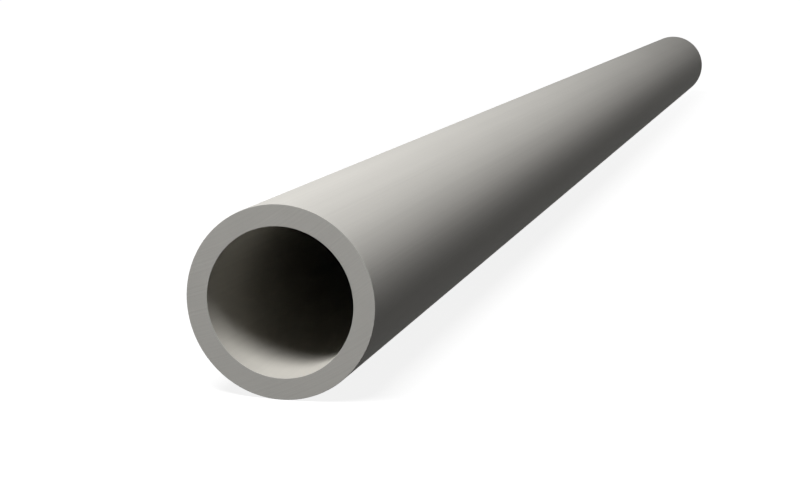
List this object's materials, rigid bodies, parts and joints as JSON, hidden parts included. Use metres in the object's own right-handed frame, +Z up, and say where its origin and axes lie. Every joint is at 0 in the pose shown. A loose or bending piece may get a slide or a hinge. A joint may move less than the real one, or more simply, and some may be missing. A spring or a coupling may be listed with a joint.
{
  "type": "pvc water pipe",
  "caption": "Straight plain-ended plastic pressure pipe: a round thick-walled tube, sawn square at both ends, that carries water.",
  "frame": {"origin": "on the pipe's axis, halfway along its length", "axes": "+Z up with the pipe lying on its side, Y along the axis, and the front open end at -Y"},
  "size_m": [0.05, 1, 0.0498],
  "materials": {
    "grey_pvc": "matte"
  },
  "bodies": {
    "root": {"pipe": "grey_pvc"}
  },
  "joints": []
}
